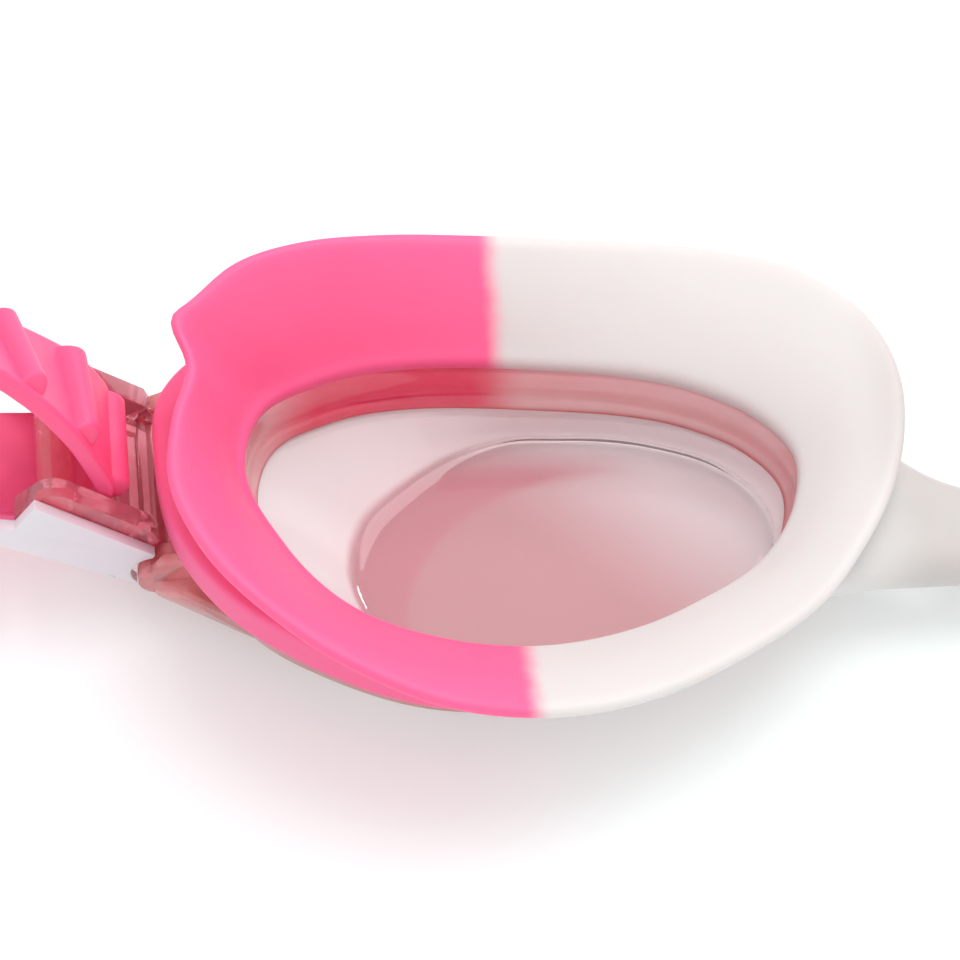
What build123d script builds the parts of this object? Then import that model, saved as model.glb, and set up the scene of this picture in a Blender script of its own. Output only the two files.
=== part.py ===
"""Small swim goggles: two lenses in clear rims, a two-colour silicone skirt, ratchet buckles, one strap.

Millimetres. +X is the wearer's right, +Y the brow, +Z the wearer's face, and the flat lens fronts lie on
the plane z = 0. One side is modelled at +X, where x is the outboard distance from the nose plane, and is
mirrored. Y is measured from the hinge line until the parts are written, and then from the middle of the box.
"""
import os
from math import atan2, cos, degrees, hypot, radians, sin

from build123d import *

# ---------------------------------------------------------------- cup outlines, as (outboard, brow) points
SEAM_X = 42.5                      # plane where the two silicone colours meet, and the cup's centre
CENTRE_Y = -8.5
LIP_OUTLINE = [
    (73.0, -11.8), (72.4, -5.6), (70.8, 0.9), (71.8, 5.4), (70.7, 6.4), (65.6, 11.6), (59.5, 14.3),
    (53.6, 15.4), (42.5, 15.9), (31.0, 15.5), (20.6, 14.1), (14.5, 12.1), (9.4, 7.8), (6.6, 1.5),
    (6.8, -5.8), (8.6, -11.6), (12.0, -17.5), (15.4, -21.9), (22.9, -27.3), (33.6, -32.2), (42.5, -33.6),
    (50.6, -32.7), (57.2, -30.0), (64.7, -24.9), (70.8, -17.9),
]
OPENING_OUTLINE = [
    (66.2, -2.0), (64.1, 2.6), (59.4, 5.0), (50.9, 6.5), (42.5, 6.2), (30.8, 4.6), (23.6, 2.2),
    (19.5, -0.4), (16.5, -4.6), (17.0, -9.6), (19.5, -14.2), (27.1, -19.6), (33.4, -22.1), (42.5, -23.2),
    (50.1, -21.9), (58.3, -17.8), (63.3, -11.5),
]
COLLAR_OUTLINE = [
    (74.5, -1.0), (74.0, 4.0), (72.4, 6.6), (69.6, 9.0), (63.0, 11.0), (54.0, 11.2), (42.5, 10.6),
    (31.0, 9.4), (21.0, 6.3), (14.5, 0.5), (12.3, -7.0), (15.0, -14.8), (23.0, -22.0), (32.0, -26.4),
    (42.5, -27.6), (53.5, -26.0), (63.0, -21.2), (69.0, -16.3), (73.1, -9.6),
]
LENS_FRONT_OUTLINE = [
    (57.5, -8.0), (56.0, -3.6), (52.9, -0.3), (46.6, 3.9), (41.7, 5.2), (36.2, 4.9), (27.5, 3.1),
    (22.0, 0.4), (18.8, -3.2), (17.7, -7.5), (19.6, -12.5), (24.8, -16.9), (35.0, -21.4), (42.5, -22.2),
    (50.0, -20.6), (55.2, -15.6),
]
RING_STEP = 6                      # degrees between the points of a ring
SKIRT_STEPS = 30                   # sections round each half of the skirt

# ---------------------------------------------------------------- cup heights and thicknesses
RIM_BOTTOM = 3.2
RIM_TAPER = 1.4                    # rim outer wall drawn in at its foot
RIM_TO_OPENING = 1.2               # rim top below the skirt's opening edge
RIM_INSIDE = 0.4                   # rim inner wall outside the opening edge
BOND_GAP = 0.05
COLLAR_WALL = 1.3
COLLAR_DROP = 3.5
LENS_WALL = 1.5
LENS_FLANGE = 1.6

# ---------------------------------------------------------------- hinge and lugs
HINGE_X = 74.8
HINGE_Z = 5.6
PIN_RADIUS = 0.75
PIN_CLEARANCE = 0.05
LUG_RADIUS = 2.0
LUG_INNER = 6.9
LUG_OUTER = 8.9
LUG_ROOT = 66.5                    # the lugs start inside the rim
LUG_LOW = 3.3
LUG_HIGH = 8.2
KNUCKLE_OUTER = 9.9                # the cheek-side lug is wider and closes off the pin
KNUCKLE = [                        # (outboard, height) outline of its faceted end
    (75.4, 3.2), (75.8, 7.0), (74.4, 9.3), (71.2, 9.8), (69.0, 8.2), (69.0, 3.2),
]
GUSSET = [(75.4, -8.95), (75.4, -9.9), (64.5, -16.6), (62.0, -15.0), (69.5, -8.8)]
GUSSET_TOP = 6.0

# ---------------------------------------------------------------- buckle, in its own (along, out) axes
BUCKLE_TILT = 45                   # degrees above the lens plane
BARREL_RADIUS = 2.0
BARREL_HALF = 6.75
WEB_END = 4.2
WEB_HALF = 1.1
NECK_HALF = 1.7
RAIL_SIDE = [(2.35, -2.6), (16.0, -2.6), (16.0, 3.6), (4.0, 3.6), (2.35, 2.7)]
RAIL_ROUND = 1.4                   # radius of the rail's outer corners
RAIL_INNER = 5.7
RAIL_OUTER = 7.6
POST_ALONG = 12.7
POST_OUT = 0.9
POST_DROP = 0.4                    # the post sits this far in from the middle of the strap's loop
POST_RADIUS = 1.6

# ---------------------------------------------------------------- release lever
LEVER_PIVOT = (10.2, -1.4)
LEVER_PIN_RADIUS = 0.6
LEVER_PIN_INNER = 6.1
LEVER_PIN_OUTER = 8.35
LEVER_WALL_INNER = 7.75
LEVER_WALL_OUTER = 8.75
LEVER_NOTCH_RADIUS = 2.6
LEVER_SIDE = [
    (2.3, 2.0), (16.6, 2.0), (15.6, -1.9), (18.0, -3.1), (21.5, -4.2), (21.5, -5.6), (14.8, -4.95),
    (5.6, -3.6), (2.6, -3.2), (0.3, -2.8),
]
LEVER_PLATE = (2.6, 5.6, -3.6, -2.8)
LEVER_BAR = (19.9, 21.5, -5.6, -4.2)

# ---------------------------------------------------------------- strap
STRAP_WIDTH = 10.8
STRAP_THICK = 1.8
WRAP_INSIDE = 3.2                  # inner radius of the loop round the post
TAIL_TILT = 76                     # degrees above the lens plane where the free tail leaves the loop
LEAD_TILT = 5                      # and where the head strap leaves it
WRAP_STEPS = 8
TAIL_ROUTE = [                     # (length, tilt, twist): the tail's brow edge twists down
    (4.0, 70, 3), (8.0, 60, 10), (14.0, 56, 20), (20.0, 54, 24), (26.0, 52, 26), (32.0, 50, 26),
]
HEAD_ROUTE = [                     # (outboard, brow, height, bank): from flat, 0, to on edge, 90
    (88.0, 0.0, 11.6, 0), (93.0, 0.6, 11.8, 6), (98.0, 3.0, 11.4, 18), (102.0, 8.0, 10.2, 38),
    (104.6, 16.0, 8.4, 62), (106.0, 26.0, 6.8, 80), (106.3, 38.0, 5.9, 88), (105.0, 55.0, 5.5, 90),
    (100.6, 74.0, 5.4, 90), (92.5, 91.0, 5.4, 90), (80.0, 105.0, 5.4, 90), (63.0, 115.0, 5.4, 90),
    (43.0, 120.6, 5.4, 90), (21.5, 123.2, 5.4, 90), (0.0, 124.0, 5.4, 90),
]
RIDGE_HALF_LENGTH = 4.6
RIDGE_HEIGHT = 1.4
RIDGE_FOOT = 1.4                   # half the ridge's width at its foot
RIDGE_TOP = 0.65                   # and at its top
RIDGE_SINK = 0.1
RIDGES_ON_TAIL = [6.9, 15.7, 24.5]
RIDGE_ON_LOOP = 26                 # degrees round the loop from the tail's end of it


# ---------------------------------------------------------------- outlines
def radius_at(outline, angle):
    """Distance from the cup's centre, in one direction, to a smooth closed curve through an outline."""
    away = [(x - SEAM_X, y - CENTRE_Y) for x, y in outline]
    polar = sorted((degrees(atan2(y, x)) % 360, hypot(x, y)) for x, y in away)
    count = len(polar)
    angle %= 360
    after = next((i for i, (a, _) in enumerate(polar) if a > angle), count)

    def knot(index):
        turns, place = divmod(index, count)
        return polar[place][0] + 360 * turns, polar[place][1]

    (a0, r0), (a1, r1), (a2, r2), (a3, r3) = (knot(after + k) for k in (-2, -1, 0, 1))
    t = (angle - a1) / (a2 - a1)
    slope1 = (r2 - r0) / (a2 - a0) * (a2 - a1)
    slope2 = (r3 - r1) / (a3 - a1) * (a2 - a1)
    return (
        (2 * t**3 - 3 * t**2 + 1) * r1 + (t**3 - 2 * t**2 + t) * slope1
        + (3 * t**2 - 2 * t**3) * r2 + (t**3 - t**2) * slope2
    )


def spot(radius, angle):
    """A place in plan, from the cup's centre."""
    return SEAM_X + radius * cos(radians(angle)), CENTRE_Y + radius * sin(radians(angle))


def lip_height(x):
    return 15.5 + 0.0022 * x * x


def opening_height(x):
    return 10.5 + 0.06 * x


def rim_height(x):
    return opening_height(x) - RIM_TO_OPENING


def lens_height(x):
    return 4.0 + 0.05 * x


def ring(outline, offset, height):
    """A closed planar ring face, the outline grown by an offset, at a height that may slope with x."""
    points = []
    for angle in range(0, 360, RING_STEP):
        x, y = spot(radius_at(outline, angle) + offset, angle)
        points.append((x, y, height(x)))
    return Face(Wire(Spline(*points, periodic=True).edges()))


# ---------------------------------------------------------------- cup parts
def skirt_section(angle):
    """The silicone's section at one direction: lip, funnel, opening edge, collar and valley."""
    lip = radius_at(LIP_OUTLINE, angle)
    opening = radius_at(OPENING_OUTLINE, angle)
    collar = radius_at(COLLAR_OUTLINE, angle)
    rim = collar - COLLAR_WALL + BOND_GAP
    lip_z = lip_height(spot(lip, angle)[0])
    opening_z = opening_height(spot(opening, angle)[0])
    spread = lip - opening
    rise = lip_z - opening_z

    def seat(radius):
        """Top of the rim under a point of the section."""
        return rim_height(spot(radius, angle)[0]) + BOND_GAP

    profile = [
        (lip - 0.6, lip_z + 0.5), (lip, lip_z), (lip - 0.4, lip_z - 0.8),
        (opening + 2.8, seat(opening) + 1.4), (collar - 0.7, seat(collar) + 1.0),
        (collar, seat(collar) + 0.3), (collar, seat(collar) - COLLAR_DROP),
        (rim, seat(rim) - COLLAR_DROP), (rim, seat(rim)),
        (opening + 0.2, seat(opening)), (opening, seat(opening) + 0.5), (opening + 0.1, opening_z),
        (opening + 0.9, opening_z + 0.9), (opening + 0.5 * spread, opening_z + 0.5 * rise + 0.5),
    ]
    points = [(*spot(radius, angle), z) for radius, z in profile]
    return Face(Wire(Polyline(*points, close=True).edges()))


def half_skirt(start):
    """The half of a cup's skirt that begins at one seam and ends at the other."""
    angles = [start + 180 * step / SKIRT_STEPS for step in range(SKIRT_STEPS + 1)]
    return loft([skirt_section(angle) for angle in angles], ruled=True)


def rim_prism(offset):
    """An upright column with the rim's outline."""
    low = ring(COLLAR_OUTLINE, offset, lambda x: 0.0)
    high = ring(COLLAR_OUTLINE, offset, lambda x: 20.0)
    return loft([low, high], ruled=True)


def nose_bridge():
    """The soft bridge between the cups, from collar to collar."""
    sections = []
    for x, low_y, high_y, low_z, high_z in (
        (-18, -18.7, 2.8, 6.9, 11.4), (-9, -17.7, -2.4, 5.9, 11.8), (0, -17.5, -8.9, 5.3, 11.0),
        (9, -17.7, -2.4, 5.9, 11.8), (18, -18.7, 2.8, 6.9, 11.4),
    ):
        cut = 1.2
        corners = [
            (x, low_y + cut, low_z), (x, high_y - cut, low_z),
            (x, high_y, low_z + cut), (x, high_y, high_z - cut),
            (x, high_y - cut, high_z), (x, low_y + cut, high_z),
            (x, low_y, high_z - cut), (x, low_y, low_z + cut),
        ]
        sections.append(Face(Wire(Polyline(*corners, close=True).edges())))
    bar = loft(sections)
    prism = rim_prism(BOND_GAP - COLLAR_WALL)
    return bar - prism - prism.mirror(Plane.YZ)


def lug(start, stop):
    """One hinge lug, rounded about the pin and rooted in the rim."""
    nose = hinge_cylinder(LUG_RADIUS, stop - start, (start + stop) / 2)
    return nose + bar(LUG_ROOT, HINGE_X, start, stop, LUG_LOW, LUG_HIGH)


def knuckle():
    """Faceted end of the cheek-side lug."""
    points = [(x, -KNUCKLE_OUTER, z) for x, z in KNUCKLE]
    face = Face(Wire(Polyline(*points, close=True).edges()))
    return extrude(face, KNUCKLE_OUTER - LUG_OUTER, dir=(0, 1, 0))


def gusset():
    """Web that braces the cheek-side lug against the rim."""
    plan = Polygon(*GUSSET, align=None)
    return Pos(0, 0, RIM_BOTTOM) * extrude(plan, GUSSET_TOP - RIM_BOTTOM)


def rim():
    """The clear frame round a lens, with two lugs for the buckle's pin."""
    bottom = ring(COLLAR_OUTLINE, -COLLAR_WALL - RIM_TAPER, lambda x: RIM_BOTTOM)
    top = ring(COLLAR_OUTLINE, -COLLAR_WALL, rim_height)
    hole_bottom = ring(OPENING_OUTLINE, RIM_INSIDE, lambda x: RIM_BOTTOM - 1)
    hole_top = ring(OPENING_OUTLINE, RIM_INSIDE, lambda x: rim_height(x) + 1)
    body = loft([bottom, top], ruled=True)
    body += lug(LUG_INNER, LUG_OUTER) + lug(-KNUCKLE_OUTER, -LUG_INNER) + knuckle() + gusset()
    hole = loft([hole_bottom, hole_top], ruled=True)
    return body - hole - hinge_cylinder(PIN_RADIUS, 2 * LUG_OUTER, 0)


def lens():
    """A dish: flat front, sloping temple window, and a flange that is bonded into the rim."""
    flange_low = ring(OPENING_OUTLINE, RIM_INSIDE - BOND_GAP, lambda x: lens_height(x) - LENS_FLANGE)
    flange_top = ring(OPENING_OUTLINE, RIM_INSIDE - BOND_GAP, lens_height)
    front = ring(LENS_FRONT_OUTLINE, 0, lambda x: 0.0)
    inside_top = ring(OPENING_OUTLINE, RIM_INSIDE - LENS_WALL, lambda x: lens_height(x) + 0.01)
    inside_front = ring(LENS_FRONT_OUTLINE, -0.6, lambda x: LENS_WALL)
    shell = loft([front, flange_low], ruled=True) + loft([flange_low, flange_top], ruled=True)
    return shell - loft([inside_front, inside_top], ruled=True)


# ---------------------------------------------------------------- buckle
def hinge_cylinder(radius, length, middle_y):
    return Pos(HINGE_X, middle_y, HINGE_Z) * Rot(90, 0, 0) * Cylinder(radius, length)


def on_buckle(shape):
    """Place a shape drawn with X along the buckle, Y across it and Z towards the wearer."""
    return Pos(HINGE_X, 0, HINGE_Z) * Rot(0, -BUCKLE_TILT, 0) * shape


def bar(x0, x1, y0, y1, z0, z1):
    return Pos((x0 + x1) / 2, (y0 + y1) / 2, (z0 + z1) / 2) * Box(x1 - x0, y1 - y0, z1 - z0)


def cross_rod(along, out, radius, y0, y1):
    return Pos(along, (y0 + y1) / 2, out) * Rot(90, 0, 0) * Cylinder(radius, y1 - y0)


def side_plate(profile, inner, outer, side):
    """A flat (along, out) profile carried across from one distance to another on one side of the buckle."""
    start, stop = sorted((side * inner, side * outer))
    points = [(along, start, out) for along, out in profile]
    face = Face(Wire(Polyline(*points, close=True).edges()))
    return extrude(face, stop - start, dir=(0, 1, 0))


def buckle():
    """Clear frame that turns on the hinge pin: barrel, web, two rails and a post for the strap."""
    shape = cross_rod(0, 0, BARREL_RADIUS, -BARREL_HALF, BARREL_HALF)
    shape += bar(0, WEB_END, -BARREL_HALF, BARREL_HALF, -WEB_HALF, WEB_HALF)
    shape += cross_rod(POST_ALONG, POST_OUT - POST_DROP, POST_RADIUS, -RAIL_INNER, RAIL_INNER)
    for side in (-1, 1):
        rail = side_plate(RAIL_SIDE, RAIL_INNER, RAIL_OUTER, side)
        shape += fillet(rail.edges().filter_by(Axis.Y).group_by(Axis.X)[-1], RAIL_ROUND)
        inner, outer = sorted((side * RAIL_INNER, side * BARREL_HALF))
        shape += bar(0, WEB_END, inner, outer, -NECK_HALF, NECK_HALF)
    for side in (-1, 1):
        along, out = LEVER_PIVOT
        y0, y1 = sorted((side * LEVER_PIN_INNER, side * (RAIL_OUTER + 1)))
        shape -= cross_rod(along, out, LEVER_PIN_RADIUS, y0, y1)
    shape -= cross_rod(0, 0, PIN_RADIUS + PIN_CLEARANCE, -RAIL_OUTER, RAIL_OUTER)
    return on_buckle(shape)


def hinge_pin():
    return hinge_cylinder(PIN_RADIUS, 2 * LUG_OUTER, 0)


def release_lever():
    """White channel over the buckle's front. Its plate's edge catches a ridge, and its end bar frees it."""
    wide = LEVER_WALL_OUTER
    shape = bar(LEVER_PLATE[0], LEVER_PLATE[1], -wide, wide, LEVER_PLATE[2], LEVER_PLATE[3])
    shape += bar(LEVER_BAR[0], LEVER_BAR[1], -wide, wide, LEVER_BAR[2], LEVER_BAR[3])
    for side in (-1, 1):
        shape += side_plate(LEVER_SIDE, LEVER_WALL_INNER, LEVER_WALL_OUTER, side)
    shape -= cross_rod(0, 0, LEVER_NOTCH_RADIUS, -2 * wide, 2 * wide)
    along, out = LEVER_PIVOT
    blind = LEVER_PIN_OUTER + PIN_CLEARANCE
    shape -= cross_rod(along, out, LEVER_PIN_RADIUS + PIN_CLEARANCE, -blind, blind)
    return on_buckle(shape)


def lever_pin(side):
    """Stub pin, fixed in a rail, that a lever wall turns on."""
    along, out = LEVER_PIVOT
    y0, y1 = sorted((side * LEVER_PIN_INNER, side * LEVER_PIN_OUTER))
    return on_buckle(cross_rod(along, out, LEVER_PIN_RADIUS, y0, y1))


# ---------------------------------------------------------------- strap
def post_centre():
    tilt = radians(BUCKLE_TILT)
    return Vector(
        HINGE_X + POST_ALONG * cos(tilt) - POST_OUT * sin(tilt), 0,
        HINGE_Z + POST_ALONG * sin(tilt) + POST_OUT * cos(tilt),
    )


def upright(angle):
    """Unit vector in the plane across the hinge, at an angle above outboard."""
    return Vector(cos(radians(angle)), 0, sin(radians(angle)))


def loop_station(turn):
    """(centre, heading, outward) of the band at an angle round the post."""
    outward = upright(turn)
    return post_centre() + outward * (WRAP_INSIDE + STRAP_THICK / 2), upright(turn + 90), outward


def tail_stations():
    """From the tail's free end to the loop."""
    centre = loop_station(TAIL_TILT + 90)[0]
    done, tilt = 0.0, TAIL_TILT
    stations = []
    for length, next_tilt, twist in TAIL_ROUTE:
        centre = centre + upright((tilt + next_tilt) / 2) * (length - done)
        done, tilt = length, next_tilt
        outward = upright(tilt + 90) * cos(radians(twist)) + Vector(0, 1, 0) * sin(radians(twist))
        stations.insert(0, (centre, -upright(tilt), outward))
    return stations


def loop_stations():
    sweep = 180 - TAIL_TILT + LEAD_TILT
    return [loop_station(TAIL_TILT + 90 + sweep * step / WRAP_STEPS) for step in range(WRAP_STEPS + 1)]


def head_stations():
    """From the loop to the middle of the back, the band banking from flat to on edge."""
    points = [loop_stations()[-1][0]] + [Vector(x, y, z) for x, y, z, _ in HEAD_ROUTE]
    points.append(Vector(-points[-2].X, points[-2].Y, points[-2].Z))
    stations = []
    for index, (_, _, _, bank) in enumerate(HEAD_ROUTE, start=1):
        heading = (points[index + 1] - points[index - 1]).normalized()
        inner_side = Vector(0, 0, 1).cross(heading).normalized()
        top_side = heading.cross(inner_side)
        outward = inner_side * -sin(radians(bank)) + top_side * -cos(radians(bank))
        stations.append((points[index], heading, outward))
    return stations


def strap_section(centre, heading, outward):
    across = heading.cross(outward)
    wide = across * (STRAP_WIDTH / 2)
    thick = outward * (STRAP_THICK / 2)
    corners = [centre + wide + thick, centre - wide + thick, centre - wide - thick, centre + wide - thick]
    return Face(Wire(Polyline(*corners, close=True).edges()))


def band(stations):
    return loft([strap_section(*station) for station in stations], ruled=True)


def ridge(centre, heading, outward):
    """One ratchet ridge across the strap's outer side."""
    across = heading.cross(outward)
    base = centre + outward * (STRAP_THICK / 2 - RIDGE_SINK)
    rise = outward * (RIDGE_HEIGHT + RIDGE_SINK)
    corners = [
        base - heading * RIDGE_FOOT, base + heading * RIDGE_FOOT,
        base + heading * RIDGE_TOP + rise, base - heading * RIDGE_TOP + rise,
    ]
    start = [corner - across * RIDGE_HALF_LENGTH for corner in corners]
    profile = Face(Wire(Polyline(*start, close=True).edges()))
    return extrude(profile, 2 * RIDGE_HALF_LENGTH, dir=across)


def station_on_tail(stations, length):
    """The band's place on the tail, at a length from the loop."""
    marks = [0.0] + [mark for mark, _, _ in TAIL_ROUTE]
    place = next(i for i, mark in enumerate(marks) if mark >= length)
    share = (length - marks[place - 1]) / (marks[place] - marks[place - 1])
    near, far = stations[-place], stations[-place - 1]
    centre, heading, outward = (a * (1 - share) + b * share for a, b in zip(near, far))
    heading = heading.normalized()
    outward = (outward - heading * outward.dot(heading)).normalized()
    return centre, heading, outward


def half_strap():
    """The band on one side of the middle plane: tail, loop round the post and half of the head strap."""
    loop = loop_stations()
    tail = tail_stations() + loop[:1]
    shape = band(tail) + band(loop) + band(loop[-1:] + head_stations())
    for length in RIDGES_ON_TAIL:
        shape += ridge(*station_on_tail(tail, length))
    return shape + ridge(*loop_station(TAIL_TILT + 90 + RIDGE_ON_LOOP))


# ---------------------------------------------------------------- assembly
def build():
    nodes = {}
    sided = {
        "lens": lens(),
        "rim": rim(),
        "skirt_temple": half_skirt(-90),
        "hinge_pin": hinge_pin(),
        "buckle": buckle(),
        "release_lever": release_lever(),
        "lever_pin_brow": lever_pin(1),
        "lever_pin_cheek": lever_pin(-1),
    }
    for name, shape in sided.items():
        nodes[f"{name}_right"] = shape
        nodes[f"{name}_left"] = shape.mirror(Plane.YZ)
    nose = half_skirt(90)
    nodes["skirt_nose_bridge"] = nose + nose.mirror(Plane.YZ) + nose_bridge()
    strap = half_strap()
    nodes["strap"] = strap + strap.mirror(Plane.YZ)
    return nodes


def main():
    nodes = build()
    boxes = [shape.bounding_box() for shape in nodes.values()]
    middle_y = (min(b.min.Y for b in boxes) + max(b.max.Y for b in boxes)) / 2
    print("middle of the box in Y:", round(middle_y, 3))
    os.makedirs("parts", exist_ok=True)
    for name, shape in nodes.items():
        placed = Pos(0, -middle_y, 0) * shape
        export_step(placed, f"parts/{name}.step")


main()
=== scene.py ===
"""Looks of a small pair of swim goggles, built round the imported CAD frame.

Shapes are worked out in millimetres in the CAD's design frame: +X outboard on the wearer's right, +Y the
brow, +Z the wearer's face, Y counted from the hinge line, lens fronts on z = 0. metres() puts them in place.
"""

import bmesh
import bpy
import numpy as np
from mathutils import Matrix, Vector


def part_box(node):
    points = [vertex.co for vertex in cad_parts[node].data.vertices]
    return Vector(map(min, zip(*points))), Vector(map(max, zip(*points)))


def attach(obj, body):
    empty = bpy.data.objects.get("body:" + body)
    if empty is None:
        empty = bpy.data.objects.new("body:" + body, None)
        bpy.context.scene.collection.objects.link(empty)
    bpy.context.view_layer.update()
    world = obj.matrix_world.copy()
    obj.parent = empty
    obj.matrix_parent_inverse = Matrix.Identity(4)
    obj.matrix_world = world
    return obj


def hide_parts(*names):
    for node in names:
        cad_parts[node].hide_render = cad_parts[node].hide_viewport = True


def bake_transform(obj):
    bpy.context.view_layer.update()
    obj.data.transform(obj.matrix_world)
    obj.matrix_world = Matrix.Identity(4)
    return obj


# ---------------------------------------------------------------- cup outlines, (outboard, brow) points, mm
SEAM_X = 42.5                      # where the two silicone colours meet, and the cup's centre
CENTRE_Y = -8.5
LIP_OUTLINE = [
    (73.0, -11.8), (72.4, -5.6), (70.8, 0.9), (71.8, 5.4), (70.7, 6.4), (65.6, 11.6), (59.5, 14.3),
    (53.6, 15.4), (42.5, 15.9), (31.0, 15.5), (20.6, 14.1), (14.5, 12.1), (9.4, 7.8), (6.6, 1.5),
    (6.8, -5.8), (8.6, -11.6), (12.0, -17.5), (15.4, -21.9), (22.9, -27.3), (33.6, -32.2), (42.5, -33.6),
    (50.6, -32.7), (57.2, -30.0), (64.7, -24.9), (70.8, -17.9),
]
OPENING_OUTLINE = [
    (66.2, -2.0), (64.1, 2.6), (59.4, 5.0), (50.9, 6.5), (42.5, 6.2), (30.8, 4.6), (23.6, 2.2),
    (19.5, -0.4), (16.5, -4.6), (17.0, -9.6), (19.5, -14.2), (27.1, -19.6), (33.4, -22.1), (42.5, -23.2),
    (50.1, -21.9), (58.3, -17.8), (63.3, -11.5),
]
COLLAR_OUTLINE = [
    (74.5, -1.0), (74.0, 4.0), (72.4, 6.6), (69.6, 9.0), (63.0, 11.0), (54.0, 11.2), (42.5, 10.6),
    (31.0, 9.4), (21.0, 6.3), (14.5, 0.5), (12.3, -7.0), (15.0, -14.8), (23.0, -22.0), (32.0, -26.4),
    (42.5, -27.6), (53.5, -26.0), (63.0, -21.2), (69.0, -16.3), (73.1, -9.6),
]
LENS_FRONT_OUTLINE = [
    (57.5, -8.0), (56.0, -3.6), (52.9, -0.3), (46.6, 3.9), (41.7, 5.2), (36.2, 4.9), (27.5, 3.1),
    (22.0, 0.4), (18.8, -3.2), (17.7, -7.5), (19.6, -12.5), (24.8, -16.9), (35.0, -21.4), (42.5, -22.2),
    (50.0, -20.6), (55.2, -15.6),
]
ANGLES = np.arange(0, 360, 1.5)

# ---------------------------------------------------------------- cup heights and thicknesses, mm
RIM_BOTTOM = 3.2
RIM_TAPER = 1.4                    # rim outer wall drawn in at its foot
RIM_INSIDE = 0.4                   # rim inner wall outside the opening edge
COLLAR_WALL = 1.3
COLLAR_DROP = 3.5
LENS_WALL = 1.5
LENS_EDGE_HEIGHT = 4.0             # of the lens's edge and the rim's ledge over it, at the nose plane
LENS_EDGE_SLOPE = 0.05             # their rise for each mm outboard

# ---------------------------------------------------------------- hinge, buckle and lever, mm
HINGE = (74.8, 5.6)                # outboard, height
BUCKLE_TILT = 45                   # degrees above the lens plane
PIN_RADIUS = 0.75
PIN_CLEARANCE = 0.05
LUG_RADIUS = 2.0
LUG_INNER = 6.9
LUG_OUTER = 8.9
LUG_ROOT = 66.5
KNUCKLE_OUTER = 9.9                # the cheek-side lug is wider and closes off the pin
KNUCKLE = [                        # (outboard, height) outline of its faceted end
    (75.4, 3.2), (75.8, 7.0), (74.4, 9.3), (71.2, 9.8), (69.0, 8.2), (69.0, 3.2),
]
GUSSET = [(75.4, -8.95), (75.4, -9.9), (64.5, -16.6), (62.0, -15.0), (69.5, -8.8)]
GUSSET_TOP = 6.0
BARREL_RADIUS = 2.0
BARREL_HALF = 6.75
RAIL_INNER = 5.7
RAIL_OUTER = 7.6
RAIL_SIDE = [
    (2.35, -2.6), (14.4, -2.6), (15.4, -2.2), (16.0, -1.2), (16.0, 2.2), (15.5, 3.2), (14.6, 3.6),
    (4.0, 3.6), (2.35, 2.7),
]
POST_ALONG = 12.7
POST_OUT = 0.9
POST_RADIUS = 1.6
LEVER_PIVOT = (10.2, -1.4)
LEVER_PIN_RADIUS = 0.6
LEVER_PIN_OUTER = 8.4
LEVER_WALL_INNER = 7.75
LEVER_WALL_OUTER = 8.75
LEVER_NOTCH_RADIUS = 2.6
LEVER_SIDE = [
    (2.3, 2.0), (16.6, 2.0), (15.6, -1.9), (18.0, -3.1), (21.5, -4.2), (21.5, -5.6), (14.8, -4.95),
    (5.6, -3.6), (2.6, -3.2), (0.3, -2.8),
]

# ---------------------------------------------------------------- strap, mm
STRAP_WIDTH = 10.8
STRAP_THICK = 1.8
WRAP_INSIDE = 3.2
TAIL_TILT = 76
LEAD_TILT = 5
TAIL_ROUTE = [                     # (length, tilt, twist)
    (0.0, 76, 0), (4.0, 70, 3), (8.0, 60, 10), (14.0, 56, 20), (20.0, 54, 24), (26.0, 52, 26), (32.0, 50, 26),
]
HEAD_ROUTE = [                     # (outboard, brow, height, bank)
    (88.0, 0.0, 11.6, 0), (93.0, 0.6, 11.8, 6), (98.0, 3.0, 11.4, 18), (102.0, 8.0, 10.2, 38),
    (104.6, 16.0, 8.4, 62), (106.0, 26.0, 6.8, 80), (106.3, 38.0, 5.9, 88), (105.0, 55.0, 5.5, 90),
    (100.6, 74.0, 5.4, 90), (92.5, 91.0, 5.4, 90), (80.0, 105.0, 5.4, 90), (63.0, 115.0, 5.4, 90),
    (43.0, 120.6, 5.4, 90), (21.5, 123.2, 5.4, 90), (0.0, 124.0, 5.4, 90),
]
STRAP_BEND = [(88, 0.5, 11.6), (96, 15.5, 5.6)]    # (outboard, brow, height) before and after the band's bend; turned to metres in half_strap but not used
RIDGE_HALF_LENGTH = 4.7
RIDGE_HEIGHT = 1.5
RIDGE_FOOT = 1.45                  # half the ridge's width where it leaves the band
RIDGES = [-1.9, 6.9, 15.7, 24.5]   # length from the loop, on the tail

# ---------------------------------------------------------------- colours, each (darkest, lightest)
SKIRT_PINK = (0.91, 0.115, 0.285), (0.95, 0.135, 0.32)
SKIRT_WHITE = (0.655, 0.635, 0.622), (0.69, 0.672, 0.66)
# painted shade: the white darkened on the bridge, low between the cups
BRIDGE_SHADED_WHITE = (0.54, 0.505, 0.49), (0.58, 0.545, 0.53)
STRAP_PINK = (0.92, 0.095, 0.25), (0.96, 0.12, 0.29)
RIM_PLAIN = (1.0, 0.53, 0.545), (1.0, 0.65, 0.66)
# painted shade: the rim darkened at its foot, under the bead where it meets the lens
RIM_FOOT_SHADE = (0.62, 0.13, 0.13), (0.80, 0.24, 0.23)
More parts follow.
